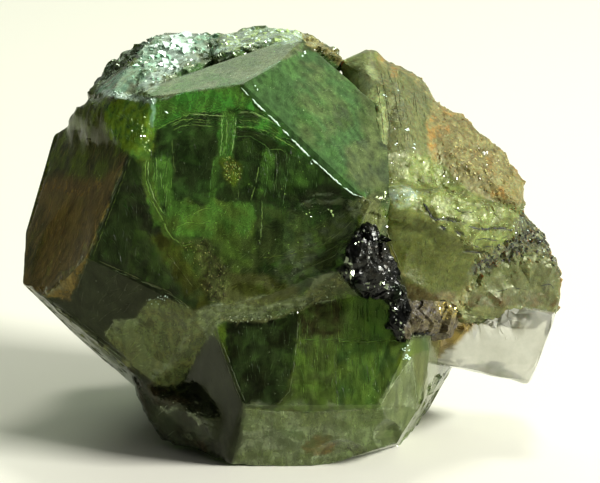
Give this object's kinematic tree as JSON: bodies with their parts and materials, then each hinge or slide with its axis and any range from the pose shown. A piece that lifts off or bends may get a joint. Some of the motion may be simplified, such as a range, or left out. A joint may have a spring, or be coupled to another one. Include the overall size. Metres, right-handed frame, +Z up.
{
  "type": "garnet mineral specimen",
  "caption": "Loose hand specimen: glassy deep green garnet crystals grown together, with a pale stained matrix, a dark metallic seam and a clear quartz chip; stands on its flat underside.",
  "frame": {"origin": "on the flat underside of the lower crystal, on the surface that the specimen stands on, under the middle of the stone", "axes": "+Z up, -Y towards the viewer of the crystal windows, +X to the viewer's right, towards the pale matrix"},
  "size_m": [0.0247, 0.0164, 0.0181],
  "materials": {
    "garnet_green": "glassy crystal faces, dark see-through green, rough and sparkling where broken",
    "matrix_pale": "rough, slightly see-through pale green with brown and rust stains",
    "seam_dark": "rough graphite black with metallic glints and a rusty brown lump",
    "quartz_clear": "glossy, clear to milky"
  },
  "bodies": {
    "root": {"garnet_crystals": "garnet_green", "pale_matrix": "matrix_pale", "metallic_seam": "seam_dark", "quartz_chip": "quartz_clear"}
  },
  "joints": []
}
